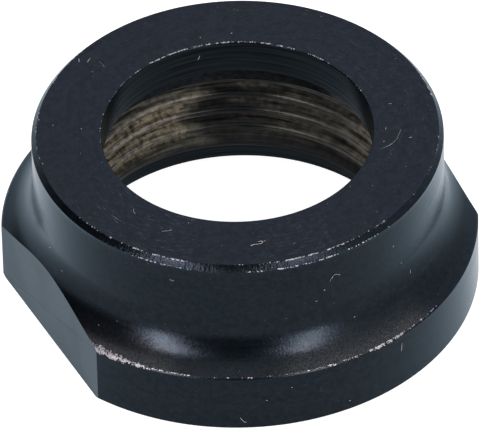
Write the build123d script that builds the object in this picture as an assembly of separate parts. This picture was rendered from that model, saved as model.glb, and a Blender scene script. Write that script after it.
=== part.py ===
from build123d import *
import math
import os

os.makedirs("parts", exist_ok=True)

# A round shouldered axle nut, turned from one bar and then milled with two wrench flats.
# It stands on its open, threaded end. The axis is Z, the origin is the centre of the base,
# and the two flats face +X and -X. Every size is in millimetres.

# Outside, from the base up
FLANGE_DIAMETER = 33.5
FLANGE_HEIGHT = 4.7
ACROSS_FLATS = 30.0
COVE_RADIUS = 3.8
BOSS_DIAMETER = 28.8
BOSS_WALL_HEIGHT = 4.3

# Inside, from the base up
MOUTH_DIAMETER = 24.3
THREAD_DIAMETER = 24.0
THREAD_PITCH = 1.5
RELIEF_DIAMETER = 24.4
RELIEF_WIDTH = 2.25
LIP_THICKNESS = 2.6
BORE_DIAMETER = 19.0

# Edges
BASE_CHAMFER = 0.15
FLANGE_EDGE_BREAK = 0.12
TOP_CHAMFER_WIDTH = 0.34
TOP_CHAMFER_HEIGHT = 0.41
BORE_EDGE_BREAK = 0.06

# An internal thread is bored to its crest circle. With 60 degree flanks and an eighth of the
# sharp triangle left off at the major and a quarter at the minor, the teeth are 5/8 of it deep.
THREAD_DEPTH = 5 / 8 * THREAD_PITCH * math.cos(math.radians(30))

flange_r = FLANGE_DIAMETER / 2
boss_r = BOSS_DIAMETER / 2
mouth_r = MOUTH_DIAMETER / 2
crest_r = THREAD_DIAMETER / 2 - THREAD_DEPTH
relief_r = RELIEF_DIAMETER / 2
bore_r = BORE_DIAMETER / 2

# The cove leaves the boss wall along its tangent and sweeps out to the rim of the flange.
# On a flange wider than the cove it has turned a full quarter, and a flat shoulder goes on.
rim_r = flange_r - FLANGE_EDGE_BREAK
cove_reach = min(rim_r - boss_r, COVE_RADIUS)
cove_rise = math.sqrt(COVE_RADIUS**2 - (COVE_RADIUS - cove_reach) ** 2)
cove_top = FLANGE_HEIGHT + cove_rise
height = cove_top + BOSS_WALL_HEIGHT + TOP_CHAMFER_HEIGHT

# The thread runs up from a 45 degree mouth to a square relief groove behind the lip.
lip_underside = height - LIP_THICKNESS
relief_floor = lip_underside - RELIEF_WIDTH
mouth_top = mouth_r - crest_r


def outer_line():
    """The outside of the section, from the mouth's rim round to the top of the bore."""
    Polyline(
        (mouth_r, 0),
        (flange_r - BASE_CHAMFER, 0),
        (flange_r, BASE_CHAMFER),
        (flange_r, FLANGE_HEIGHT - FLANGE_EDGE_BREAK),
        (rim_r, FLANGE_HEIGHT),
    )
    if rim_r - boss_r > COVE_RADIUS:
        Line((rim_r, FLANGE_HEIGHT), (boss_r + cove_reach, FLANGE_HEIGHT))
    TangentArc(
        (boss_r, cove_top),
        (boss_r + cove_reach, FLANGE_HEIGHT),
        tangent=(0, -1),
    )
    Polyline(
        (boss_r, cove_top),
        (boss_r, height - TOP_CHAMFER_HEIGHT),
        (boss_r - TOP_CHAMFER_WIDTH, height),
        (bore_r + BORE_EDGE_BREAK, height),
    )


def inner_line():
    """The inside of the section, from the top of the bore down to the mouth's rim."""
    Polyline(
        (bore_r + BORE_EDGE_BREAK, height),
        (bore_r, height - BORE_EDGE_BREAK),
        (bore_r, lip_underside + BORE_EDGE_BREAK),
        (bore_r + BORE_EDGE_BREAK, lip_underside),
        (relief_r, lip_underside),
        (relief_r, relief_floor),
        (crest_r, relief_floor),
        (crest_r, mouth_top),
        (mouth_r, 0),
    )


def axle_nut():
    """The turned blank, kept only between the two planes of the wrench flats."""
    with BuildPart() as nut:
        with BuildSketch(Plane.XZ):
            with BuildLine():
                outer_line()
                inner_line()
            make_face()
        revolve(axis=Axis.Z)
        Box(ACROSS_FLATS, 2 * FLANGE_DIAMETER, 3 * height, mode=Mode.INTERSECT)
    return nut.part


export_step(axle_nut(), "parts/axle_nut.step")
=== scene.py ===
# %% [markdown]
# # A blackened axle nut
#
# The real nut is one piece of steel. It is turned from bar on a lathe, threaded inside, milled with
# two wrench flats, and then boiled in a salt bath that turns its skin into black iron oxide.
# The measured solid has its true outline, but a plain cylinder where the thread is and no finish.
# So this lesson turns the same section again as a fine mesh, cuts a real helical thread into it,
# and gives it the oxide, the lathe marks, the bare edges and the dust that the photograph shows.

# %% Load the measured solid
import math
import random

import bmesh
import bpy
from mathutils import Matrix, Quaternion, Vector, noise


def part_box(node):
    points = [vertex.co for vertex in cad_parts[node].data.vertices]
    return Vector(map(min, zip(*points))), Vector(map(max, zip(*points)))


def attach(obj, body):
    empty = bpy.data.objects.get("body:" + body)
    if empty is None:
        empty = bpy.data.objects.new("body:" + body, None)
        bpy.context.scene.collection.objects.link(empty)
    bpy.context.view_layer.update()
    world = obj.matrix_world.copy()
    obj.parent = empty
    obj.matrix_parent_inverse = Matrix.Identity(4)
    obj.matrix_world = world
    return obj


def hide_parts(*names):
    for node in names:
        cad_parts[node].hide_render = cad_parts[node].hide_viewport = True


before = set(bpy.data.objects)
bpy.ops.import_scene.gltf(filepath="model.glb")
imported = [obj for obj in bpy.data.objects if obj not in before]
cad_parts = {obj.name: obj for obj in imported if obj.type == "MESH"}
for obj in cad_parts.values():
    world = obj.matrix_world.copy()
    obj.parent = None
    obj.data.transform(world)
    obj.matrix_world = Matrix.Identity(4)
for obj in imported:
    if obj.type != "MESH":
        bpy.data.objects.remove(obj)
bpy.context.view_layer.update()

MM = 0.001
NODE = "axle_nut"
solid_low, solid_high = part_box(NODE)
print("solid, in mm:", [round(v / MM, 3) for v in solid_high - solid_low])

# %% [markdown]
# ## The section
#
# A turned part is known by half of its section, a closed line in the plane of radius and height.
# The height, the flange and the flats are read from the solid, and the rest repeats its sizes in
# millimetres, because a mesh doesn't remember which circle was the boss and which the bore.
# No real edge is a perfect corner, so every corner also has a small radius that catches the light.
# A Bevel modifier would round the thread's rows too, so the radii are put into the line itself.

# %% Sizes of the section, in millimetres
TOP = solid_high.z / MM
FLANGE_R = solid_high.y / MM
FLAT_X = solid_high.x / MM
FLANGE_TOP = 4.7
COVE_R = 3.8
BOSS_R = 14.4
BORE_R = 9.5
LIP = 2.6
RELIEF_R = 12.2
RELIEF_WIDTH = 2.25
MOUTH_R = 12.15
MOUTH_DEPTH = 1.8
THREAD_R = 12.0
PITCH = 1.5
BASE_CHAMFER = 0.15
RIM_BREAK = 0.12
TOP_CHAMFER = (0.34, 0.41)
BORE_BREAK = 0.06

# The thread has 60 degree flanks, a flat root of an eighth of the pitch and a flat crest of a
# quarter.
THREAD_DEPTH = 5 / 8 * PITCH * math.cos(math.radians(30))
CREST_R = THREAD_R - THREAD_DEPTH
LIP_BOTTOM = TOP - LIP
RELIEF_FLOOR = LIP_BOTTOM - RELIEF_WIDTH
print("thread: crest radius", round(CREST_R, 3), "depth", round(THREAD_DEPTH, 3), "mm")

# %% Walk along a section line with rounded corners
# Extra points stand this far from each corner, but not on a short stretch, and neither they nor
# a corner's arc take more than a share of the stretch.
SUPPORTS = (0.03, 0.12, 0.3)
SHORT = 0.32
LARGEST_SHARE = 0.4


def unit(vector):
    return vector / vector.length


def rounded_corner(before, corner, after, radius, steps=3):
    """Points of an arc that replaces a corner, no longer than the stretches beside it allow."""
    to_before, to_after = before - corner, after - corner
    half = to_before.angle(to_after) / 2
    shorter = min(to_before.length, to_after.length)
    reach = min(radius / math.tan(half), LARGEST_SHARE * shorter)
    radius = reach * math.tan(half)
    centre = corner + unit(unit(to_before) + unit(to_after)) * (radius / math.sin(half))
    first = corner + unit(to_before) * reach - centre
    last = corner + unit(to_after) * reach - centre
    turn = -first.angle_signed(last)
    return [centre + Matrix.Rotation(turn * step / steps, 2) @ first for step in range(steps + 1)]


def straight_steps(start, end, longest):
    """Points strictly between two others, closer near both ends to keep the shading flat."""
    length = (end - start).length
    if length < SHORT:
        return []
    near = [place for place in SUPPORTS if place < LARGEST_SHARE * length]
    inner = length - 2 * near[-1]
    count = max(1, math.ceil(inner / longest))
    places = near + [near[-1] + inner * i / count for i in range(1, count)]
    places += [length - place for place in reversed(near)]
    return [start.lerp(end, place / length) for place in places]


def walk(corners, longest):
    """The whole line through (radius, height, corner radius), ends included."""
    points = [Vector(corner[:2]) for corner in corners]
    line = [points[0]]
    for i in range(1, len(points)):
        if i < len(points) - 1 and corners[i][2]:
            piece = rounded_corner(points[i - 1], points[i], points[i + 1], corners[i][2])
        else:
            piece = [points[i]]
        line += straight_steps(line[-1], piece[0], longest) + piece
    return line


# %% [markdown]
# ## The outside and the lip
#
# The line starts where the thread ends, goes down the mouth's wall, out along the base, up the
# flange wall, in along the cove, up the boss, across the top and down the bore to the floor of the
# relief groove. The cove is an arc that leaves the boss wall along its tangent, as on the solid.
# The solid's mouth is a 45 degree cone. The photograph shows a plain wall there, a little higher
# than one pitch, so the mouth is a short counterbore here.

# %% The turned line
RIM_R = FLANGE_R - RIM_BREAK
COVE_CENTRE = BOSS_R + COVE_R
COVE_TOP = FLANGE_TOP + math.sqrt(COVE_R**2 - (COVE_CENTRE - RIM_R) ** 2)
COVE_STEPS = 26
EDGE = 0.04


def cove_points():
    """From the flange's rim up to the boss wall, ends included."""
    low = math.atan2(COVE_TOP - FLANGE_TOP, COVE_CENTRE - RIM_R)
    points = []
    for step in range(COVE_STEPS + 1):
        angle = low * (1 - step / COVE_STEPS)
        radius = COVE_CENTRE - COVE_R * math.cos(angle)
        points.append((radius, COVE_TOP - COVE_R * math.sin(angle), 0))
    return points


outside = (
    [
        (THREAD_R, MOUTH_DEPTH, 0),
        (MOUTH_R, MOUTH_DEPTH, 0),
        (MOUTH_R, 0, EDGE),
        (FLANGE_R - BASE_CHAMFER, 0, EDGE),
        (FLANGE_R, BASE_CHAMFER, EDGE),
        (FLANGE_R, FLANGE_TOP - RIM_BREAK, EDGE),
        (RIM_R, FLANGE_TOP, EDGE),
    ]
    + cove_points()[1:]
    + [
        (BOSS_R, TOP - TOP_CHAMFER[1], EDGE),
        (BOSS_R - TOP_CHAMFER[0], TOP, EDGE),
        (BORE_R + BORE_BREAK, TOP, EDGE),
    ]
)
lip = [
    (BORE_R, TOP - BORE_BREAK, EDGE),
    (BORE_R, LIP_BOTTOM + BORE_BREAK, EDGE),
    (BORE_R + BORE_BREAK, LIP_BOTTOM, EDGE),
    (RELIEF_R, LIP_BOTTOM, EDGE),
    (RELIEF_R, RELIEF_FLOOR, EDGE),
    (THREAD_R, RELIEF_FLOOR, 0),
]
LONGEST_STEP = 0.7
SAME = 0.001
turned_line = walk(outside + lip, LONGEST_STEP)
base_start = next(i for i, point in enumerate(turned_line) if point.y < SAME)
lip_start = next(i for i, point in enumerate(turned_line) if point.x < BORE_R + SAME)
print("turned line:", len(turned_line), "points, base and lip from", base_start, "and", lip_start)

# %% [markdown]
# ## The thread
#
# A thread could be painted on with a bump, but its grooves are 0.8 mm deep and are seen from close
# by, so they have to be real. A screw modifier would make them, but would not meet the mouth and
# the relief groove. So the wall is a grid whose rows climb by one pitch in every turn. Where a row
# leaves the wall at its foot or its head it ends on the ring there, and the mesh stays closed.
# These two rings aren't round: each is the thread's own outline where a level cut goes through it.

# %% The thread's profile
TURN = 2 * math.pi
COLUMNS = 420
CREST_HALF = 0.125
ROOT_HALF = 0.0625
CREST_ROUND = 0.07
HALF_PHASES = (0.055, 0.09, 0.125, 0.16, 0.195, 0.3, 0.42, 0.45)
PHASES = (0, *HALF_PHASES, 0.5, *(1 - phase for phase in reversed(HALF_PHASES)))
ROWS = len(PHASES)

# One crest crosses the back of the photograph at this angle and height.
CREST_ANGLE = math.radians(63.8)
CREST_HEIGHT = 8.01
angles = [TURN * column / COLUMNS for column in range(COLUMNS)]


def groove(phase):
    """Radius of the bare thread, where phase 0 is the middle of a crest and 0.5 of a root."""
    past = min(phase, 1 - phase) - CREST_HALF
    if abs(past) < CREST_ROUND:
        past = (past + CREST_ROUND) ** 2 / (4 * CREST_ROUND)
    slope = past / (0.5 - ROOT_HALF - CREST_HALF)
    return CREST_R + THREAD_DEPTH * min(1, max(0, slope))


def wall_place(row, column):
    """Radius and height on the wall."""
    phase = PHASES[row % ROWS]
    turns = (angles[column] - CREST_ANGLE) / TURN + row // ROWS + phase
    return groove(phase), CREST_HEIGHT + PITCH * turns


def cut_radius(height, angle):
    """Radius of the thread where a level cut goes through it."""
    turns = (height - CREST_HEIGHT) / PITCH - (angle - CREST_ANGLE) / TURN
    return groove(turns % 1)


first_row = -ROWS * math.ceil(CREST_HEIGHT / PITCH + 2)
last_row = ROWS * math.ceil((RELIEF_FLOOR - CREST_HEIGHT) / PITCH + 2)
print("thread rows:", first_row, "to", last_row)

# %% Rings and helical rows
SLIVER = 0.02
OUTER, LIP_WALL, FLAT, THREAD = range(4)
places, faces, finishes = [], [], []


def spun(radius, height, angle):
    """A place of the section, turned round the axis by an angle."""
    return (radius * math.cos(angle) * MM, radius * math.sin(angle) * MM, height * MM)


places += [spun(cut_radius(MOUTH_DEPTH, angle), MOUTH_DEPTH, angle) for angle in angles]
for radius, height in turned_line[1:-1]:
    places += [spun(radius, height, angle) for angle in angles]
places += [spun(cut_radius(RELIEF_FLOOR, angle), RELIEF_FLOOR, angle) for angle in angles]

for row in range(len(turned_line) - 1):
    low, high = row * COLUMNS, (row + 1) * COLUMNS
    for column in range(COLUMNS):
        after = (column + 1) % COLUMNS
        faces.append((low + column, low + after, high + after, high + column))
        finishes.append(OUTER if base_start <= row < lip_start else LIP_WALL)

head_ring = (len(turned_line) - 1) * COLUMNS
wall_vertices = {}


def wall_vertex(row, column):
    """The vertex at a place on the wall. Past either end it is the ring's own vertex there."""
    if column == COLUMNS:
        return wall_vertex(row + ROWS, 0)
    radius, height = wall_place(row, column)
    if height < MOUTH_DEPTH + SLIVER:
        return column
    if height > RELIEF_FLOOR - SLIVER:
        return head_ring + column
    if (row, column) not in wall_vertices:
        wall_vertices[row, column] = len(places)
        places.append(spun(radius, height, angles[column]))
    return wall_vertices[row, column]


for row in range(first_row, last_row):
    for column in range(COLUMNS):
        corners = [(row, column), (row + 1, column), (row + 1, column + 1), (row, column + 1)]
        face = list(dict.fromkeys(wall_vertex(*corner) for corner in corners))
        if len(face) > 2:
            faces.append(face)
            finishes.append(THREAD)
print("before the flats:", len(places), "vertices,", len(faces), "faces")

# %% [markdown]
# ## The wrench flats
#
# A milling cutter took two flats off the flange and the foot of the cove, 30 mm apart. Their upper
# edge is an arch, where a plane meets the cove. A boolean would do this too, but a straight cut
# through the mesh is quicker and leaves its faces alone. Each cut is then closed with one face.
# The two rings where the thread is cut off are sharp too, so their edges are not smoothed either.

# %% Cut the flats
nut_mesh = bpy.data.meshes.new("blackened_nut")
nut_mesh.from_pydata(places, [], faces)
nut_mesh.polygons.foreach_set("material_index", finishes)
form = bmesh.new()
form.from_mesh(nut_mesh)
for face in form.faces:
    face.smooth = True
form.verts.ensure_lookup_table()
for ring in (0, head_ring):
    for column in range(COLUMNS):
        ends = form.verts[ring + column], form.verts[ring + (column + 1) % COLUMNS]
        form.edges.get(ends).smooth = False

FLAT_BORDER = 0.05 * MM
ON_PLANE = 0.0001 * MM
flat_faces, flat_edges = [], []
for side in (1, -1):
    everything = form.verts[:] + form.edges[:] + form.faces[:]
    cut = bmesh.ops.bisect_plane(
        form,
        geom=everything,
        dist=ON_PLANE,
        plane_co=(side * FLAT_X * MM, 0, 0),
        plane_no=(side, 0, 0),
        clear_outer=True,
    )
    rim = [item for item in cut["geom_cut"] if isinstance(item, bmesh.types.BMEdge)]
    filled = bmesh.ops.edgeloop_fill(form, edges=rim, mat_nr=FLAT, use_smooth=False)["faces"]
    flat_edges += rim
    flat_faces += filled
    for edge in rim:
        edge.smooth = False
bmesh.ops.recalc_face_normals(form, faces=form.faces)
border = bmesh.ops.inset_region(
    form, faces=flat_faces, thickness=FLAT_BORDER, use_even_offset=True
)
for face in border["faces"]:
    face.material_index = FLAT
    face.smooth = False
print("flats:", len(flat_faces), "volume", round(form.calc_volume() / MM**3), "mm3")
print("open edges:", sum(not edge.is_manifold for edge in form.edges))

# %% [markdown]
# ## Where the oxide has gone
#
# The black skin is only a thousandth of a millimetre thick, so a knock on an edge bares the steel.
# The worn stretches are named from the photograph: where their middle is, in degrees to the
# right of its front, how far they reach to each side, how strong they are and how wide. Each vertex
# near such an edge keeps a number, `wear`, which the materials break up into chips. A number does
# this better than a painted picture, because it stays sharp however close the camera comes.

# %% Worn stretches of each edge
FRONT = math.radians(-116.2)

# middle, half length, strength, width in mm
RIM_WEAR = [
    (-42, 4, 0.55, 0.55), (-35, 4, 0.55, 0.45), (-28, 4, 0.54, 0.25), (-19, 6, 0.50, 0.10),
    (-5, 6, 0.47, 0.08), (8, 4, 0.46, 0.08), (15, 4, 0.48, 0.09), (26, 8, 0.50, 0.10),
    (37, 4, 0.54, 0.16), (45, 3, 0.49, 0.09), (51, 3, 0.49, 0.08), (150, 50, 0.44, 0.08),
    (-110, 30, 0.44, 0.08),
]
TOP_WEAR = [
    (-86, 6, 0.42, 0.05), (-46, 5, 0.44, 0.05), (-36, 5, 0.48, 0.05), (-24, 8, 0.50, 0.06),
    (-2, 3, 0.41, 0.05), (8, 3, 0.46, 0.05), (16, 5, 0.49, 0.05), (28, 7, 0.47, 0.05),
    (42, 6, 0.45, 0.05), (72, 14, 0.42, 0.05), (110, 8, 0.46, 0.06), (-110, 20, 0.44, 0.05),
]
SHOULDER_WEAR = [
    (-26, 4, 0.51, 0.06), (-18, 4, 0.47, 0.06), (-8, 5, 0.42, 0.05), (5, 4, 0.43, 0.06),
    (14, 4, 0.48, 0.06), (24, 6, 0.48, 0.06), (36, 5, 0.48, 0.06), (45, 3, 0.42, 0.05),
]
BORE_WEAR = [
    (-128, 5, 0.42, 0.05), (-138, 6, 0.47, 0.06), (-150, 8, 0.53, 0.08), (-172, 14, 0.50, 0.08),
    (163, 10, 0.50, 0.08), (148, 8, 0.48, 0.08), (134, 6, 0.45, 0.06), (120, 6, 0.42, 0.05),
    (-100, 20, 0.42, 0.05),
]
FOOT_WEAR = [(0, 70, 0.40, 0.06), (170, 80, 0.40, 0.06)]
BORE_RIM = 0.10
EDGES = [
    (RIM_R + EDGE, FLANGE_TOP - EDGE, RIM_WEAR),
    (BOSS_R - TOP_CHAMFER[0], TOP, TOP_WEAR),
    (BOSS_R, TOP - TOP_CHAMFER[1], SHOULDER_WEAR),
    (BORE_R + BORE_RIM, TOP, BORE_WEAR),
    (FLANGE_R, 0, FOOT_WEAR),
]
WEAR_FADE = 5
WEAR_REACH = 0.8
print("worn stretches:", sum(len(stretches) for _, _, stretches in EDGES))


def smooth(share):
    """From 0 up to 1 while the share does so too, and level before and after."""
    share = min(1, max(0, share))
    return share * share * (3 - 2 * share)


def around(angle, middle, half, fade):
    """1 along a stretch, and smoothly down to 0 over some degrees past its ends."""
    away = math.degrees(abs((angle - FRONT - math.radians(middle) + math.pi) % TURN - math.pi))
    return 1 - smooth((away - half) / fade)


def wear_at(radius, height, angle):
    """The most that any worn stretch gives here. It fades away from its edge."""
    most = 0
    for edge_radius, edge_height, stretches in EDGES:
        gap = math.hypot(radius - edge_radius, height - edge_height)
        if gap < WEAR_REACH:
            for middle, half, strength, width in stretches:
                near = math.exp(-((max(0, gap - EDGE) / width) ** 2))
                most = max(most, strength * near * around(angle, middle, half, WEAR_FADE))
    return most


# %% [markdown]
# ## Rubbed oxide, scuffs, and the film in the thread
#
# Seven more numbers are kept in the same way. `rubbed` marks the thin grey oxide in the cove,
# beside the worn rim. `film` marks the dried oil in the thread, which is thick on the left of the
# photograph, thin on the right and missing in the middle, and `polish` the crests that an axle has
# rubbed. The side that the photograph doesn't show gets a little of both too. On the groove's floor
# `film` marks dust, which is partly painted light. `scuffed` says how densely the top face is
# strewn with fine scratches, `dull_shade` the lowest turns, which are painted dark and matt as
# painted shade,
# `chatter` marks the chamfer, which the tool cut while it shook, and `border` the edges of the
# flats.

# %% Rubbed stretches, and the film and the polish in the thread
# middle, half length, fade past it, strength
RUBBED_STRETCHES = [(-32, 8, 14, 1.0), (30, 14, 12, 0.9), (0, 12, 10, 0.25)]
# The dust on the groove's floor is partly painted light, which lifts the floor's shade.
GROOVE_DUST_AND_LIGHT_STRETCHES = [(-140, 22, 20, 0.8), (124, 16, 10, 2.2)]
POLISH_STRETCHES = [(-139, 12, 14, 0.9), (154, 5, 9, 0.2), (130, 14, 10, 0.4), (-10, 60, 40, 0.6)]
SCUFFED_STRETCHES = [(-36, 16, 12, 1.0), (18, 8, 10, 0.8), (110, 30, 20, 0.5)]

# middle, half length, fade past it, strength, lowest and highest z in mm, fade there
FILM_STRETCHES = [
    (-139, 23, 12, 1.00, 2.9, 6.6, 1.2),
    (-146, 16, 12, 0.45, 2.6, 7.6, 0.6),
    (118, 8, 20, 0.75, 3.6, 8.2, 1.2),
    (150, 9, 12, 0.36, 3.4, 8.0, 1.0),
    (-10, 60, 40, 0.35, 2.0, 7.0, 1.5),
]
LEAST_FILM = 0.10
FILM_START = 0.2
FILM_WANDER = 0.2
WANDER_SCALE = 1.8
# Level of the dust on the groove's floor, partly painted light.
GROOVE_DUST_AND_LIGHT_LEVEL = 0.32
RUBBED_WIDTH = 1.1
LEAST_SCUFFED = 0.2
# Below these heights the lowest turns are painted dark and matt, as painted shade.
DULL_SHADE_FROM, DULL_SHADE_TO = 3.2, 2.5
CHATTER_FADE = 0.2
CHATTER_AT_HEAD = 0.35
CLOSE = 0.01


def strongest(angle, stretches):
    """The most that any of the stretches gives at an angle."""
    return max(strength * around(angle, *where) for *where, strength in stretches)


def rubbed_at(radius, height, angle):
    if not BOSS_R < radius < FLANGE_R or not FLANGE_TOP - EDGE - CLOSE < height < COVE_TOP:
        return 0
    inside = (FLANGE_R - radius) / RUBBED_WIDTH
    return strongest(angle, RUBBED_STRETCHES) * math.exp(-inside * inside)


def scuffed_at(height, angle):
    if height < TOP - EDGE - CLOSE:
        return LEAST_SCUFFED
    return max(LEAST_SCUFFED, strongest(angle, SCUFFED_STRETCHES))


def chatter_at(radius, height):
    """Most at the foot of the chamfer, and down to 0 over a short way past its edges."""
    if height < TOP - 2 * TOP_CHAMFER[1] or radius < BOSS_R - 2 * TOP_CHAMFER[0]:
        return 0
    past = max(BOSS_R - TOP_CHAMFER[0] - radius, TOP - TOP_CHAMFER[1] - height, 0)
    down = min(1, (TOP - height) / TOP_CHAMFER[1])
    level = CHATTER_AT_HEAD + (1 - CHATTER_AT_HEAD) * down * down
    return max(0, 1 - past / CHATTER_FADE) * level


def film_at(height, angle):
    """Dust on the groove's floor, partly painted light, and dried oil below, with an uneven
    outline.
    """
    if height > RELIEF_FLOOR + CLOSE:
        return 0
    if height > RELIEF_FLOOR - CLOSE:
        return GROOVE_DUST_AND_LIGHT_LEVEL * (1 + strongest(angle, GROOVE_DUST_AND_LIGHT_STRETCHES))
    most = LEAST_FILM
    angle += FILM_WANDER * noise.noise(Vector((0.3, 0.7, WANDER_SCALE * height)))
    for *where, strength, low, high, fade in FILM_STRETCHES:
        within = 1 - smooth(max(low - height, height - high) / fade)
        most = max(most, strength * within * around(angle, *where))
    return most * min(1, max(0, height - MOUTH_DEPTH) / FILM_START)


# %% Give every vertex its numbers
CLEARLY_WORN = 0.3
NUMBERS = ("wear", "rubbed", "scuffed", "chatter", "film", "polish", "dull_shade", "border")
for name in NUMBERS:
    form.verts.layers.float.new(name)
layers = {name: form.verts.layers.float[name] for name in NUMBERS}
for vertex in form.verts:
    x, y, z = vertex.co / MM
    radius, angle = math.hypot(x, y), math.atan2(y, x)
    vertex[layers["wear"]] = wear_at(radius, z, angle)
    vertex[layers["rubbed"]] = rubbed_at(radius, z, angle)
    vertex[layers["scuffed"]] = scuffed_at(z, angle)
    vertex[layers["chatter"]] = chatter_at(radius, z)
    vertex[layers["film"]] = film_at(z, angle)
    vertex[layers["polish"]] = strongest(angle, POLISH_STRETCHES)
    vertex[layers["dull_shade"]] = smooth((DULL_SHADE_FROM - z) / (DULL_SHADE_FROM - DULL_SHADE_TO))
for edge in flat_edges:
    for vertex in edge.verts:
        vertex[layers["border"]] = 1
wear_layer = layers["wear"]
print("worn vertices:", sum(vertex[wear_layer] > CLEARLY_WORN for vertex in form.verts))

# %% [markdown]
# ## Nicks
#
# On the worst stretches the steel itself is nicked. Each vertex there is pushed into the part by
# up to about 0.05 mm, by a noise of its place, so that the bright line of the rim is uneven in its
# shape too and not only in its colour. A Displace modifier would need a picture or a texture block
# for this, and a few lines of code don't.

# %% Push the nicks in
NICK_FROM = 0.5
NICK_DEPTH = 1.28 * MM
NICK_SCALE = 2.4
form.normal_update()
pushes = []
for vertex in form.verts:
    worn = vertex[wear_layer] - NICK_FROM
    if worn > 0 and abs(vertex.co.x) < (FLAT_X - CLOSE) * MM:
        knock = max(0, noise.noise(vertex.co / MM * NICK_SCALE))
        pushes.append((vertex, vertex.normal * (NICK_DEPTH * worn * knock)))
for vertex, push in pushes:
    vertex.co -= push
print("nicked vertices:", len(pushes))

# %% [markdown]
# ## The nut as an object
#
# The mesh becomes an object only now, when nothing changes its form any more. It takes the place of
# the measured solid and moves with the same body.


# %% Put the nut in the scene
def put(name, data):
    """A new object in the scene."""
    made = bpy.data.objects.new(name, data)
    bpy.context.scene.collection.objects.link(made)
    return made


form.to_mesh(nut_mesh)
form.free()
nut = put("blackened_nut", nut_mesh)
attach(nut, "root")
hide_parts(NODE)
print("triangles:", sum(len(p.vertices) - 2 for p in nut_mesh.polygons))

# %% [markdown]
# ## Tools for the materials
#
# Each finish is a small tree of nodes. It could be drawn by hand in the shader editor, but as code
# it can be read, and the same few steps come again and again. These helpers add a node, feed a
# socket with a number or another socket, and make a group with named sockets. Places are taken in
# millimetres on the nut itself, so that every mark stays where it is when the camera moves.

# %% Helpers for node trees
def add(tree, kind, **settings):
    """A new node of a kind, with its settings."""
    made = tree.nodes.new("ShaderNode" + kind)
    for name, value in settings.items():
        setattr(made, name, value)
    return made


def feed(tree, socket, value):
    """Links a socket to another one, or sets its own value."""
    if isinstance(value, bpy.types.NodeSocket):
        tree.links.new(value, socket)
    else:
        socket.default_value = value


def outputs_of(tree, kind, values, **settings):
    """The outputs of a node whose first inputs are fed in their order."""
    made = add(tree, kind, **settings)
    for socket, value in zip(made.inputs, values):
        feed(tree, socket, value)
    return made.outputs


def maths(tree, operation, *values):
    return outputs_of(tree, "Math", values, operation=operation)[0]


def product(tree, *values):
    """Several values multiplied together."""
    made = values[0]
    for value in values[1:]:
        made = maths(tree, "MULTIPLY", made, value)
    return made


def vector_maths(tree, operation, *values):
    """A vector, or a number where the operation gives one."""
    made = outputs_of(tree, "VectorMath", values, operation=operation)
    return made["Value" if operation in ("LENGTH", "DOT_PRODUCT") else "Vector"]


def joined(tree, x, y, z=0.0):
    return outputs_of(tree, "CombineXYZ", (x, y, z))[0]


def parted(tree, vector):
    return outputs_of(tree, "SeparateXYZ", (vector,))[:]


def between(tree, value, low, high, to_low=0.0, to_high=1.0):
    """A smooth step from to_low to to_high, while the value goes from low to high."""
    made = add(tree, "MapRange", interpolation_type="SMOOTHSTEP")
    names = ("Value", "From Min", "From Max", "To Min", "To Max")
    for name, number in zip(names, (value, low, high, to_low, to_high)):
        feed(tree, made.inputs[name], number)
    return made.outputs[0]


def blend(tree, share, first, second):
    """The first value, with a share of the second."""
    made = add(tree, "Mix")
    for number, value in ((0, share), (2, first), (3, second)):
        feed(tree, made.inputs[number], value)
    return made.outputs[0]


def tinted(tree, share, first, second):
    """The first colour, with a share of the second."""
    made = add(tree, "Mix", data_type="RGBA")
    for number, value in ((0, share), (6, first), (7, second)):
        feed(tree, made.inputs[number], value)
    return made.outputs[2]


def place(tree):
    """The place on the nut, in millimetres."""
    on_nut = add(tree, "TexCoord").outputs["Object"]
    return vector_maths(tree, "MULTIPLY", on_nut, (1 / MM, 1 / MM, 1 / MM))


def polar(tree):
    """Radius and height in millimetres, and the two sides of the direction round the axis."""
    x, y, z = parted(tree, place(tree))
    level_place = joined(tree, x, y)
    across, along, _ = parted(tree, vector_maths(tree, "NORMALIZE", level_place))
    return vector_maths(tree, "LENGTH", level_place), z, across, along


def grain(tree, vector, detail, scale=1.0, fourth=None):
    """Smooth noise, about 0.5 on average, with this many bumps in a unit of the vector."""
    made = add(tree, "TexNoise", noise_dimensions="3D" if fourth is None else "4D")
    feed(tree, made.inputs["Vector"], vector)
    if fourth is not None:
        feed(tree, made.inputs["W"], fourth)
    feed(tree, made.inputs["Scale"], scale)
    made.inputs["Detail"].default_value = detail
    return made.outputs["Fac"]


def spots(tree, scale, detail):
    """The same noise, with this many bumps in a millimetre of the nut."""
    return grain(tree, place(tree), detail, scale)


def new_group(name, outputs, **inputs):
    """An empty node group for numbers, with what it takes, by name, and what it gives."""
    tree = bpy.data.node_groups.new(name, "ShaderNodeTree")
    kind = "NodeSocketFloat"
    for label, value in inputs.items():
        socket = tree.interface.new_socket(label, in_out="INPUT", socket_type=kind)
        socket.default_value = value
    for label in outputs:
        tree.interface.new_socket(label, in_out="OUTPUT", socket_type=kind)
    return tree, tree.nodes.new("NodeGroupInput").outputs, tree.nodes.new("NodeGroupOutput").inputs


def use(tree, group, **values):
    """Places a group in a tree, with its own values."""
    made = add(tree, "Group", node_tree=group)
    for name, value in values.items():
        feed(tree, made.inputs[name], value)
    return made.outputs


# %% [markdown]
# ## Turning marks
#
# The tool of a lathe leaves fine rings. A Wave texture makes rings too, but far too even ones. Seen
# across, real rings are noise; seen along, they hardly change. So a noise is read at the radius and
# the height, which a ring shares all round, and the direction round the axis only drifts through it
# slowly. Two finishes use it: the outside and the lip's wall.

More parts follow.
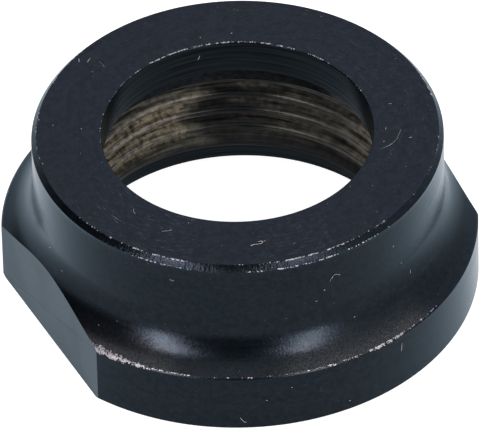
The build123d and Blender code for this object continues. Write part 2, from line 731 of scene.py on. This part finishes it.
# %% Group: turning marks
tree, taken, given = new_group("turning marks", ["Height", "Tone"], Lines=6.0, Drift=0.6)
marks_group = tree
radius, height, across, along = polar(tree)
ring = joined(
    tree,
    product(tree, radius, taken["Lines"]),
    product(tree, height, taken["Lines"]),
    product(tree, across, taken["Drift"]),
)
lines = grain(tree, ring, 3.0, fourth=product(tree, along, taken["Drift"]))
patches = between(tree, spots(tree, 0.35, 2.0), 0.35, 0.65, 0.35, 1.0)
lines = product(tree, maths(tree, "SUBTRACT", lines, 0.5), patches)
feed(tree, given["Height"], maths(tree, "ADD", lines, 0.5))
feed(tree, given["Tone"], between(tree, lines, -0.2, 0.2))
print(tree.name, len(tree.nodes), "nodes")

# %% [markdown]
# ## Grain of the oxide
#
# The salt bath etches the steel a little before it blackens it, so the skin has a fine satin grain,
# a mottle and a slow cloudiness where it took more or less, and a few pinholes where it didn't take
# at all. One noise could carry all of these in its detail. Four plain ones are used, because then
# each has its own size and strength.

# %% Group: oxide grain
GRAIN_GIVES = ["Height", "Mottle", "Cloud", "Pinholes"]
tree, taken, given = new_group("oxide grain", GRAIN_GIVES, Fineness=9.0)
grain_group = tree
feed(tree, given["Height"], spots(tree, taken["Fineness"], 3.0))
feed(tree, given["Mottle"], between(tree, spots(tree, 2.6, 3.0), 0.3, 0.7))
feed(tree, given["Cloud"], between(tree, spots(tree, 0.22, 3.0), 0.3, 0.7))
feed(tree, given["Pinholes"], between(tree, spots(tree, 6.0, 1.0), 0.74, 0.80))
print(tree.name, len(tree.nodes), "nodes")

# %% [markdown]
# ## Chipped edges
#
# Geometry's Pointiness could find the edges by itself, but it can't be told which stretches are
# worn. So a chip is bare where the wear at a place is more than a noise there. Where it is low only
# the peaks of the noise show, as single bright specks, and where it is high they join into a bright
# edge. The noise has two sizes: a slow one that gathers the chips, and a fine one that frays them.

# %% Group: chipped edge
SLOW_SHARE = 0.42
CHIP_TAKES = {"Wear": 0.0, "Chips": 13.0, "Clusters": 2.2}
tree, taken, given = new_group("chipped edge", ["Bare", "Depth"], **CHIP_TAKES)
chip_group = tree
frayed, gathered = spots(tree, taken["Chips"], 3.0), spots(tree, taken["Clusters"], 2.0)
over = maths(tree, "SUBTRACT", taken["Wear"], blend(tree, SLOW_SHARE, frayed, gathered))
feed(tree, given["Bare"], between(tree, over, -0.02, 0.04))
feed(tree, given["Depth"], between(tree, over, -0.05, 0.05))
print(tree.name, len(tree.nodes), "nodes")

# %% [markdown]
# ## Chatter
#
# On the chamfer the tool shook a little and left short streaks across it, so a soft box mirrored
# there looks like a strip of sparks. The streaks are noise that is read at the direction round the
# axis, which a line across the chamfer shares, and hardly at the height.

# %% Group: chatter
tree, taken, given = new_group("chatter", ["Height"], Streaks=8.0, Across=2.0)
chatter_group = tree
radius, height, across, along = polar(tree)
streak = joined(
    tree,
    product(tree, across, BOSS_R, taken["Streaks"]),
    product(tree, along, BOSS_R, taken["Streaks"]),
    product(tree, height, taken["Across"]),
)
feed(tree, given["Height"], grain(tree, streak, 2.0))
print(tree.name, len(tree.nodes), "nodes")

# %% [markdown]
# ## Fine scratches
#
# Other parts have slid over the top face and left hair-fine scratches, most of them along the
# rings. There are too many to lay one by one as curves, so they are the peaks of a noise that is
# read much more closely across the rings than along them.

# %% Group: fine scratches
tree, taken, given = new_group("fine scratches", ["Bare"], Across=11.0, Along=1.3)
scratch_group = tree
radius, height, across, along = polar(tree)
spread = joined(
    tree,
    product(tree, maths(tree, "SUBTRACT", radius, height), taken["Across"]),
    product(tree, across, BOSS_R, taken["Along"]),
    product(tree, along, BOSS_R, taken["Along"]),
)
feed(tree, given["Bare"], between(tree, grain(tree, spread, 2.0), 0.58, 0.72))
print(tree.name, len(tree.nodes), "nodes")

# %% [markdown]
# ## Blackened turned steel
#
# Black oxide is a dark, slightly blue skin with a soft gloss. It reflects as little as oil does,
# about 1 to 2% face on, and most of what is seen is that reflection. A plain dielectric has that
# strength, but its reflection is colourless, and here the cool tint stays even at a low angle.
# So the skin is mostly a metal with a very dark colour: Base Color is what it reflects face on, and
# Specular Tint the colour of its reflection at a low angle. Bare steel is the same metal, but
# bright. The steel under the skin isn't quite even either: low bumps, six to a millimetre, break up
# what it mirrors.

# %% Material: blackened turned steel
OXIDE = (0.0054, 0.0084, 0.0116, 1)
OXIDE_CLOUD = (0.0062, 0.0092, 0.0112, 1)
OXIDE_THIN = (0.0104, 0.0155, 0.0215, 1)
RUBBED = (0.060, 0.062, 0.066, 1)
BARE = (0.30, 0.31, 0.33, 1)
BARE_ROUGHNESS = 0.5
TURNED_ROUGHNESS = (0.21, 0.27)
SKIN_METAL = 0.85
SKIN = {"IOR": 1.26, "Specular Tint": (0.72, 0.83, 0.91, 1)}
MOTTLE_SHARE = 0.6
TONE_SHARE = 0.3
PINHOLE_SHARE = 0.12
SCUFF_SHARE = 0.07
UNEVEN_SCALE = 6.0
CHIP_SCALE = 8.0


def new_material(name, settings):
    """A material, its tree and its shader, whose own sockets get these settings."""
    material = bpy.data.materials.new(name)
    material.use_nodes = True
    tree = material.node_tree
    shader = tree.nodes["Principled BSDF"]
    for label, value in settings.items():
        shader.inputs[label].default_value = value
    return material, tree, shader


def attribute(tree, name):
    return add(tree, "Attribute", attribute_name=name).outputs["Fac"]


def relief(tree, shader, *layers):
    """Feeds a shader a normal from heights, each with its depth in micrometres."""
    normal = None
    for height, depth in layers:
        made = add(tree, "Bump")
        made.inputs["Distance"].default_value = depth * MM / 1000
        feed(tree, made.inputs["Height"], height)
        if normal is not None:
            feed(tree, made.inputs["Normal"], normal)
        normal = made.outputs[0]
    feed(tree, shader.inputs["Normal"], normal)


def oxide_colour(tree, skin, tone):
    """The skin's own colour, with its clouds, its mottle, its rings and its pinholes."""
    colour = tinted(tree, skin["Cloud"], OXIDE, OXIDE_CLOUD)
    colour = tinted(tree, product(tree, skin["Mottle"], MOTTLE_SHARE), colour, OXIDE_THIN)
    colour = tinted(tree, product(tree, tone, TONE_SHARE), colour, OXIDE_THIN)
    return tinted(tree, product(tree, skin["Pinholes"], PINHOLE_SHARE), colour, BARE)


def bared(tree, shader, colour, rough, bare, metal=SKIN_METAL):
    """Feeds a shader a skin that is broken by bare steel."""
    feed(tree, shader.inputs["Base Color"], tinted(tree, bare, colour, BARE))
    feed(tree, shader.inputs["Metallic"], blend(tree, bare, metal, 1.0))
    feed(tree, shader.inputs["Roughness"], blend(tree, bare, rough, BARE_ROUGHNESS))


turned, tree, shader = new_material("blackened_turned_steel", SKIN)
marks = use(tree, marks_group, Lines=3.0, Drift=0.6)
skin = use(tree, grain_group, Fineness=10.0)
chips = use(tree, chip_group, Wear=attribute(tree, "wear"), Chips=CHIP_SCALE)
patchy = between(tree, skin["Height"], 0.35, 0.65, 0.2, 1.0)
rubbed = product(tree, attribute(tree, "rubbed"), patchy)
colour = tinted(tree, rubbed, oxide_colour(tree, skin, marks["Tone"]), RUBBED)
scratches = use(tree, scratch_group)["Bare"]
scuffs = product(tree, scratches, attribute(tree, "scuffed"), SCUFF_SHARE)
colour = tinted(tree, scuffs, colour, BARE)
bared(tree, shader, colour, blend(tree, marks["Tone"], *TURNED_ROUGHNESS), chips["Bare"])
chatter = product(tree, use(tree, chatter_group)["Height"], attribute(tree, "chatter"))
relief(
    tree,
    shader,
    (marks["Height"], 4.0),
    (skin["Height"], 3.0),
    (spots(tree, UNEVEN_SCALE, 2.0), 9.0),
    (chatter, 40.0),
    (chips["Depth"], -12.0),
)
print(turned.name, len(tree.nodes), "nodes")

# %% [markdown]
# ## The lip's wall
#
# The short bore through the lip and the groove behind it were turned with a finer feed, which
# leaves close rings. Little light gets there, and the skin is thicker and duller, so it has its own
# material.

# %% Material: blackened bore
BORE_OXIDE = (0.0060, 0.0080, 0.0095, 1)
RING_DARK = (0.0036, 0.0054, 0.0070, 1)
RING_LIGHT = (0.0104, 0.0142, 0.0172, 1)
# Colour of the dust on the groove's floor, partly dust and partly painted light.
GROOVE_DUST_AND_LIGHT = (0.066, 0.086, 0.094, 1)
BORE_ROUGHNESS = 0.24
BORE_SKIN = {"IOR": 1.22, "Specular Tint": (0.60, 0.64, 0.68, 1)}
bored, tree, shader = new_material("blackened_bore", BORE_SKIN)
marks = use(tree, marks_group, Lines=7.0, Drift=0.9)
skin = use(tree, grain_group, Fineness=8.0)
chips = use(tree, chip_group, Wear=attribute(tree, "wear"))
# Dust on the groove's floor, partly painted light.
dust_and_light = product(tree, attribute(tree, "film"), between(tree, skin["Mottle"], 0.0, 1.0, 0.8, 1.2))
rings = between(tree, marks["Height"], 0.40, 0.60)
colour = tinted(tree, dust_and_light, tinted(tree, rings, RING_DARK, RING_LIGHT), GROOVE_DUST_AND_LIGHT)
bared(tree, shader, colour, BORE_ROUGHNESS, chips["Bare"], blend(tree, dust_and_light, SKIN_METAL, 0.0))
relief(tree, shader, (marks["Height"], 35.0), (skin["Height"], 2.0))
print(bored.name, len(tree.nodes), "nodes")

# %% [markdown]
# ## The milled flats
#
# The flats have the same skin without rings, so they use the same groups and leave out the turning
# marks. Their borders are the sharpest edges of the nut, and a thin line of the oxide is gone
# there.

# %% Material: blackened milled flat
BORDER_WEAR = 0.44
MILLED_ROUGHNESS = (0.27, 0.34)
milled, tree, shader = new_material("blackened_milled_flat", SKIN)
skin = use(tree, grain_group, Fineness=7.0)
chips = use(tree, chip_group, Wear=product(tree, attribute(tree, "border"), BORDER_WEAR))
rough = between(tree, skin["Cloud"], 0.0, 1.0, *MILLED_ROUGHNESS)
bared(tree, shader, oxide_colour(tree, skin, 0.5), rough, chips["Bare"])
relief(tree, shader, (skin["Height"], 2.0))
print(milled.name, len(tree.nodes), "nodes")

# %% [markdown]
# ## The thread
#
# Dried oil and fine rust lie on the flanks as a matt film. The crests' upper edges and a line half
# way down each flank are rubbed by the axle's thread, and they catch the soft boxes. Where the film
# covers the upper edges it is painted paler there, a painted highlight, and in the roots it is
# paler too, partly grease and partly painted light that lifts their shade. All of these follow the
# thread, so the material works out how far a place is up its own pitch: 0 in the middle of a crest
# and 0.5 in the middle of a root. A tool leaves the same lines in every pitch, so the noise for
# them is read on a circle that the pitch goes once round, and it has no seam. The lowest turns are
# painted dark and matt, as painted shade.

# %% Group: thread marks
LINE_CLIMB = 0.3
THREAD_GIVES = ["Height", "Tone", "Crest", "Edge", "Rub", "Root"]
thread_group, taken, given = new_group("thread marks", THREAD_GIVES, Lines=2.0, Drift=1.0)
tree = thread_group
radius, height, across, along = polar(tree)
turns = maths(tree, "DIVIDE", maths(tree, "ARCTAN2", along, across), TURN)
climbed = maths(tree, "DIVIDE", maths(tree, "SUBTRACT", height, CREST_HEIGHT), PITCH)
climbed = maths(tree, "ADD", maths(tree, "SUBTRACT", climbed, turns), CREST_ANGLE / TURN)
phase = maths(tree, "FRACT", climbed)
turned_phase = product(tree, phase, TURN)
circle = joined(
    tree,
    product(tree, maths(tree, "COSINE", turned_phase), taken["Lines"]),
    product(tree, maths(tree, "SINE", turned_phase), taken["Lines"]),
    product(tree, across, taken["Drift"]),
)
drift = product(tree, along, taken["Drift"])
drift = maths(tree, "ADD", drift, product(tree, height, LINE_CLIMB))
lines = grain(tree, circle, 3.0, fourth=drift)


def stripe(low, high, soft):
    """1 while the place in the pitch is from low to high, and 0 elsewhere."""
    rise = between(thread_group, phase, low - soft, low + soft)
    fall = between(thread_group, phase, high - soft, high + soft, 1.0, 0.0)
    return product(thread_group, rise, fall)


feed(tree, given["Height"], lines)
feed(tree, given["Tone"], between(tree, lines, 0.3, 0.7))
feed(tree, given["Edge"], stripe(0.03, 0.18, 0.03))
feed(tree, given["Rub"], stripe(0.225, 0.275, 0.02))
feed(tree, given["Root"], stripe(0.28, 0.60, 0.07))
feed(tree, given["Crest"], maths(tree, "SUBTRACT", 1.0, stripe(0.12, 0.88, 0.03)))
print(tree.name, len(tree.nodes), "nodes")

# %% Material: oily thread
OIL = (0.200, 0.190, 0.130, 1)
RUST = (0.172, 0.146, 0.120, 1)
GREY_FILM = (0.116, 0.120, 0.099, 1)
# Grease in the roots, painted paler than the oil: partly grease, partly painted light that lifts
# the roots' shade.
ROOT_GREASE_AND_LIGHT = (0.250, 0.235, 0.165, 1)
# Painted highlight: the film on the crests' upper edges is painted paler where the soft boxes would
# shine.
PALE_EDGE_HIGHLIGHT = (0.270, 0.260, 0.215, 1)
DROPS = (0.340, 0.310, 0.220, 1)
# Painted shade: the colour of the lowest turns, which are painted dark and matt.
PAINTED_SHADE = (0.006, 0.0085, 0.011, 1)
WORN_CREST = (0.090, 0.090, 0.086, 1)
ROOT_FILM = 0.28
CREST_FILM = 0.7
RUB_SHARE = 0.25
PAINTED_SHADE_SHARE = 0.85
FILM_SCALE = 2.2
DROP_SCALE = 4.5
RUST_SCALE = 0.8
OILY_FROM, OILY_TO = 0.65, 0.95
THREAD_ROUGHNESS = (0.28, 0.6)
threaded, tree, shader = new_material("oily_thread", BORE_SKIN)
marks = use(tree, thread_group, Lines=2.5, Drift=3.5)
skin = use(tree, grain_group, Fineness=7.0)
film, polish, dull_shade = (attribute(tree, name) for name in ("film", "polish", "dull_shade"))
streaks = between(tree, marks["Tone"], 0.0, 1.0, 0.35, 1.35)
oily = between(tree, film, OILY_FROM, OILY_TO)
least = blend(tree, oily, 0.75, 0.35)
blotches = between(tree, spots(tree, FILM_SCALE, 3.0), 0.35, 0.65, least, 1.4)
lying = maths(tree, "MAXIMUM", film, product(tree, marks["Root"], ROOT_FILM))
on_crest = blend(tree, marks["Crest"], 1.0, CREST_FILM)
thick = maths(tree, "MINIMUM", product(tree, lying, streaks, blotches, on_crest), 1.0)
colour = tinted(tree, between(tree, spots(tree, RUST_SCALE, 2.0), 0.50, 0.65), OIL, RUST)
# The roots are painted paler: partly grease, partly painted light against their shade.
colour = tinted(tree, product(tree, marks["Root"], film), colour, ROOT_GREASE_AND_LIGHT)
# Painted highlight along the crests' upper edges, in the film's colour.
colour = tinted(tree, product(tree, marks["Edge"], film), colour, PALE_EDGE_HIGHLIGHT)
drops = between(tree, spots(tree, DROP_SCALE, 1.0), 0.58, 0.68)
colour = tinted(tree, product(tree, drops, oily, marks["Tone"]), colour, DROPS)
colour = tinted(tree, oily, GREY_FILM, colour)
rub = product(tree, marks["Rub"], RUB_SHARE, maths(tree, "ADD", polish, 0.5))
worn = maths(tree, "ADD", product(tree, marks["Edge"], polish), rub)
skin_colour = tinted(tree, product(tree, worn, streaks), BORE_OXIDE, WORN_CREST)
# Painted shade on the lowest turns: darker colour, less metal and a rougher skin.
painted_shade = product(tree, dull_shade, PAINTED_SHADE_SHARE)
skin_colour = tinted(tree, painted_shade, skin_colour, PAINTED_SHADE)
film_and_shade = maths(tree, "MAXIMUM", thick, painted_shade)
feed(tree, shader.inputs["Base Color"], tinted(tree, thick, skin_colour, colour))
feed(tree, shader.inputs["Metallic"], blend(tree, film_and_shade, SKIN_METAL, 0.0))
feed(tree, shader.inputs["Roughness"], blend(tree, film_and_shade, *THREAD_ROUGHNESS))
relief(tree, shader, (marks["Height"], 8.0), (skin["Height"], 4.0))
print(threaded.name, len(tree.nodes), "nodes")

for material in (turned, bored, milled, threaded):
    nut_mesh.materials.append(material)
print("materials:", [material.name for material in nut_mesh.materials])

# %% [markdown]
# ## Lint and dust
#
# The nut was wiped with a cloth, and fibres and dust stayed on the dark skin. They are no part of
# the steel, so they are pieces of their own that lie on it. Hair and particle systems would strew
# them anywhere. So each fibre is a thin round curve through a few places that were read off the
# photograph, in degrees to the right of its front and millimetres, and only the grains are strewn.

# %% Fibres
FIBRE_R = 0.02
FIBRE_RISE = 0.04
SPECK_LENGTH = 0.1
SPECK_THICKNESS = 0.8

# thickness beside the others, then degrees and radius, on the top face
HOOK = [(3.4, 12.1), (4.5, 12.07), (6.4, 12.07), (7.5, 12.0)]
HOOK += [(7.6, 11.85), (6.9, 11.77), (5.9, 11.78)]
TOP_FIBRES = [
    (0.6, [(-126.8, 13.0), (-129, 13.1)]),
    (0.8, [(-126.6, 13.7), (-125.5, 13.5)]),
    (0.3, [(-129, 12.3), (-128.8, 12.0), (-128, 11.7)]),
    (0.5, [(-42.7, 10.8), (-41.4, 11.1), (-40.3, 11.1)]),
    (0.2, [(-46, 12.3), (-43.5, 12.35), (-41.4, 12.3)]),
    (0.2, [(-44.8, 12.4), (-42, 12.6)]),
    (0.4, [(-27.4, 11.7), (-24.6, 11.3)]),
    (0.75, HOOK),
    (0.6, [(103.3, 10.9), (102.8, 11.1)]),
    (0.6, [(89.7, 10.35), (88.4, 10.35)]),
    (0.3, [(88.5, 11.4), (86.1, 11.3), (83.6, 11.2), (81.1, 11.0), (79, 10.7), (77, 10.2)]),
    (0.6, [(84.3, 12.0), (84.6, 12.2)]),
    (0.3, [(75.6, 10.9), (74.6, 11.1)]),
]
TOP_SPECKS = [(-124, 12.1), (-114, 14.0), (-97.4, 13.95), (-95, 12.9), (-93.6, 10.9), (-80.5, 14.0)]
TOP_SPECKS += [(-78, 13.9), (-179, 10.5), (3.4, 12.1), (3.6, 12.15), (81.2, 10.3), (8.0, 11.8)]

# thickness, then degrees, radius and height, on the walls and in the cove
WALL_FIBRES = [
    (0.6, [(25.2, 14.4, 10.2), (25.8, 14.4, 10.55), (26.8, 14.4, 10.8), (28.3, 14.4, 10.5)]),
    (0.6, [(-20.1, 14.4, 11.22), (-18.9, 14.4, 11.17)]),
    (0.6, [(54, 14.55, 7.13), (53.6, 14.6, 6.88)]),
    (0.5, [(5.8, 14.58, 6.9), (6.8, 14.53, 7.1)]),
    (0.6, [(41.3, 16.75, 3.9), (41, 16.75, 3.2)]),
    (0.6, [(-1, 16.75, 1.1), (-0.6, 16.75, 0.8), (0.3, 16.75, 0.65)]),
    (0.6, [(-163.8, 9.5, 11.7), (-164.6, 9.5, 12.0)]),
]
WALL_SPECKS = [(47.1, 14.4, 10.4), (50.4, 14.4, 8.3), (23.2, 14.4, 9.6), (20.8, 14.4, 8.8)]
WALL_SPECKS += [(31.5, 14.8, 6.5), (23.7, 16.2, 4.83), (-66.6, 14.45, 7.6), (-58.8, 14.57, 7.0)]
WALL_SPECKS += [(49.8, 16.66, 4.65), (11.2, 16.75, 3.5), (5.1, 16.75, 2.6), (25.7, 16.75, 0.9)]

lint_curve = bpy.data.curves.new("lint", "CURVE")
lint_curve.dimensions = "3D"
lint_curve.bevel_depth = 1
lint_curve.bevel_resolution = 1
lint_curve.use_fill_caps = True


def lay_fibre(thickness, fibre):
    """A fibre through places on the nut, a little raised between its two ends."""
    spline = lint_curve.splines.new("NURBS")
    spline.points.add(len(fibre) - 1)
    for i, (azimuth, radius, height) in enumerate(fibre):
        rise = FIBRE_R * thickness + FIBRE_RISE * math.sin(math.pi * i / (len(fibre) - 1))
        away = -rise if radius < BORE_R + CLOSE else rise if height < TOP else 0
        up = rise if height >= TOP else 0
        x, y, z = spun(radius + away, height + up, FRONT + math.radians(azimuth))
        spline.points[i].co = (x, y, z, 1)
        spline.points[i].radius = FIBRE_R * thickness * MM
    spline.order_u = min(3, len(fibre))
    spline.use_endpoint_u = True
    spline.resolution_u = 4


def lay_speck(azimuth, radius, height):
    """A speck is a fibre no longer than a tenth of a millimetre."""
    far = azimuth + math.degrees(SPECK_LENGTH / radius)
    lay_fibre(SPECK_THICKNESS, [(azimuth, radius, height), (far, radius, height)])


for thickness, fibre in TOP_FIBRES:
    lay_fibre(thickness, [(azimuth, radius, TOP) for azimuth, radius in fibre])
for azimuth, radius in TOP_SPECKS:
    lay_speck(azimuth, radius, TOP)
for thickness, fibre in WALL_FIBRES:
    lay_fibre(thickness, fibre)
for speck in WALL_SPECKS:
    lay_speck(*speck)
lint = put("lint", lint_curve)
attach(lint, "root")
print("fibres:", len(lint_curve.splines))

# %% Dust
random.seed(4)
TOP_GRAINS = 130
COVE_GRAINS = 60
TOP_BAND = (BORE_R + 0.2, BOSS_R - 0.5)
GRAIN_RISE = 0.01
COVE_RISE = 0.007
CLEAR_OF_FLAT = 0.1
SMALLEST, SPAN = 0.010, 0.022
OCTANTS = [(x, y, z) for x in (0, 1) for y in (2, 3) for z in (4, 5)]
AXES = [(1, 0, 0), (-1, 0, 0), (0, 1, 0), (0, -1, 0), (0, 0, 1), (0, 0, -1)]
dust_places, dust_faces = [], []


def drop_grain(centre):
    """An uneven grain with eight faces. Most are tiny."""
    size = (SMALLEST + SPAN * random.random() ** 4) * MM
    first = len(dust_places)
    for axis in AXES:
        dust_places.append(Vector(centre) + Vector(axis) * size * random.uniform(0.5, 1.3))
    for corners in OCTANTS:
        face = [first + corner for corner in corners]
        turned_in = sum(corner % 2 for corner in corners) % 2
        dust_faces.append(face[::-1] if turned_in else face)


for _ in range(TOP_GRAINS):
    radius, angle = random.uniform(*TOP_BAND), random.uniform(0, TURN)
    drop_grain(spun(radius, TOP + GRAIN_RISE, angle))
for _ in range(COVE_GRAINS):
    radius, height, _ = random.choice(cove_points()[2:-2])
    angle = random.uniform(0, TURN)
    if abs(radius * math.cos(angle)) < FLAT_X - CLEAR_OF_FLAT:
        drop_grain(spun(radius + COVE_RISE, height + COVE_RISE, angle))
dust_mesh = bpy.data.meshes.new("dust")
dust_mesh.from_pydata(dust_places, [], dust_faces)
dust = put("dust", dust_mesh)
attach(dust, "root")
print("grains:", len(dust_places) // len(AXES))

# %% [markdown]
# ## Cotton
#
# The fibres and the grains are pale and quite matt. A hair shader would suit them from close by,
# but here the thickest is half a pixel wide, so a rough skin between two greys is enough.

# %% Material: cotton lint
PALE_COTTON = (0.42, 0.43, 0.42, 1)
GREY_COTTON = (0.26, 0.27, 0.28, 1)
COTTON = {"Roughness": 0.9, "Specular IOR Level": 0.2}
cotton, tree, shader = new_material("cotton_lint", COTTON)
shade = between(tree, spots(tree, 1.5, 2.0), 0.35, 0.65)
feed(tree, shader.inputs["Base Color"], tinted(tree, shade, PALE_COTTON, GREY_COTTON))
lint_curve.materials.append(cotton)
dust_mesh.materials.append(cotton)
print(cotton.name, len(tree.nodes), "nodes")

# %% [markdown]
# ## The studio
#
# A black skin shows only what it mirrors, so the room matters as much as the steel. A picture of a
# real studio could stand round the nut, but a few nodes are enough. The room is white. Its side
# towards the camera and to its left is dark, and two soft boxes stand there. The floor is a white
# sweep, a little brighter than the lamps alone would make it.

# %% Floor
FLOOR_R = 3.0
FLOOR_GAP = 0.02 * MM
FLOOR_GLOW = 0.93
SWEEP = {
    "Base Color": (0.35, 0.35, 0.35, 1),
    "Roughness": 0.9,
    "Specular IOR Level": 0,
    "Emission Color": (1, 1, 1, 1),
}
floor_form = bmesh.new()
bmesh.ops.create_circle(floor_form, cap_ends=True, segments=64, radius=FLOOR_R)
floor_mesh = bpy.data.meshes.new("floor")
floor_form.to_mesh(floor_mesh)
floor_form.free()
floor = put("floor", floor_mesh)
floor.location.z = -FLOOR_GAP

sweep, tree, shader = new_material("white_sweep", SWEEP)
rays = add(tree, "LightPath").outputs
seen = maths(tree, "MAXIMUM", rays["Is Camera Ray"], rays["Is Glossy Ray"])
seen = maths(tree, "MAXIMUM", seen, rays["Is Transmission Ray"])
feed(tree, shader.inputs["Emission Strength"], product(tree, seen, FLOOR_GLOW))
floor_mesh.materials.append(sweep)
print(sweep.name, len(tree.nodes), "nodes")

# %% [markdown]
# ## Light
#
# The two soft boxes make the bright patches on the chamfer and in the cove. Their places come from
# those patches: a mirror turns the eye's direction about the normal, so each patch on the
# photograph points at what it shows. They are tall and lean inward, and stand low.

# %% Soft boxes
BOX_SIZE = (0.125, 0.38)
BOX_DISTANCE = 0.60
BOX_LEAN = 6
BOX_COLOUR = (1.0, 0.87, 0.88)


def toward(azimuth, elevation):
    """The direction to a place in the room, from the front of the photograph to the right."""
    a, e = FRONT + math.radians(azimuth), math.radians(elevation)
    return Vector((math.cos(a) * math.cos(e), math.sin(a) * math.cos(e), math.sin(e)))


def soft_box(name, azimuth, elevation, lean, brightness):
    lamp = bpy.data.lights.new(name, "AREA")
    lamp.shape = "RECTANGLE"
    lamp.size, lamp.size_y = BOX_SIZE
    lamp.color = BOX_COLOUR
    lamp.energy = brightness * math.pi * lamp.size * lamp.size_y
    box = put(name, lamp)
    box.location = toward(azimuth, elevation) * BOX_DISTANCE
    facing = toward(azimuth, elevation).to_track_quat("Z", "Y")
    box.rotation_euler = (facing @ Quaternion((0, 0, 1), math.radians(lean))).to_euler()
    box.visible_camera = False
    print(name, round(lamp.energy, 2), "W, at", [round(v, 2) for v in box.location])


soft_box("soft_box_left", azimuth=-38, elevation=26, lean=-BOX_LEAN, brightness=22)
soft_box("soft_box_right", azimuth=32, elevation=25, lean=BOX_LEAN, brightness=16)

# %% Room
ROOM = (1.1, 1.1, 1.1, 1)
DARK = (0.01, 0.01, 0.01, 1)
BACK = (1.75, 1.55, 1.70, 1)
WHITE = (1, 1, 1, 1)
DARK_SIDE = -60
BACK_SIDE, BACK_ELEVATION = 180, 45
room = bpy.data.worlds.new("room")
room.use_nodes = True
bpy.context.scene.world = room
tree = room.node_tree
direction = add(tree, "TexCoord").outputs["Generated"]
across, along, rise = parted(tree, direction)
level_way = vector_maths(tree, "NORMALIZE", joined(tree, across, along))
to_dark = vector_maths(tree, "DOT_PRODUCT", level_way, toward(DARK_SIDE, 0))
low_end, high_end = between(tree, rise, 0.02, 0.10), between(tree, rise, 0.70, 0.88, 1.0, 0.0)
dark = product(tree, between(tree, to_dark, 0.15, 0.35), product(tree, low_end, high_end))
colour = tinted(tree, dark, ROOM, DARK)
to_back = vector_maths(tree, "DOT_PRODUCT", direction, toward(BACK_SIDE, BACK_ELEVATION))
colour = tinted(tree, between(tree, to_back, 0.6, 0.95), colour, BACK)
colour = tinted(tree, add(tree, "LightPath").outputs["Is Camera Ray"], colour, WHITE)
feed(tree, tree.nodes["Background"].inputs["Color"], colour)
print(room.name, len(tree.nodes), "nodes")

# %% [markdown]
# ## The camera
#
# The photograph was taken from some way off, so its far side is hardly smaller than its near one.
# The camera could be set by eye. Here its direction, distance and roll were fitted to the rims,
# which are circles on the nut and ellipses on the photograph, so that most edges of the render lie
# within a pixel or two of the photograph's.

# %% Camera
VIEW_AZIMUTH = 0.06
VIEW_ELEVATION = 41.34
VIEW_ROLL = math.radians(1.533)
VIEW_DISTANCE = 0.8109
VIEW_LENS = 866.7
SENSOR_WIDTH = 36
CLIP_START = 0.01
AIM_HEIGHT = 5.11 * MM
AIM_SIDE = 0.03 * MM

back = toward(VIEW_AZIMUTH, VIEW_ELEVATION)
right = Vector((0, 0, 1)).cross(back).normalized()
up = back.cross(right)
aim = Vector((0, 0, AIM_HEIGHT)) + right * AIM_SIDE
rolled_right = right * math.cos(VIEW_ROLL) - up * math.sin(VIEW_ROLL)
rolled_up = up * math.cos(VIEW_ROLL) + right * math.sin(VIEW_ROLL)

camera_data = bpy.data.cameras.new("camera")
camera_data.lens = VIEW_LENS
camera_data.sensor_width = SENSOR_WIDTH
camera_data.clip_start = CLIP_START
camera = put("camera", camera_data)
facing = Matrix((rolled_right, rolled_up, back)).transposed().to_4x4()
camera.matrix_world = Matrix.Translation(aim + back * VIEW_DISTANCE) @ facing
bpy.context.scene.camera = camera
bpy.context.scene.view_settings.view_transform = "Standard"
print("camera at", [round(v, 3) for v in camera.location])

# %% [markdown]
# ## Finish

# %% Finish
bpy.context.view_layer.update()
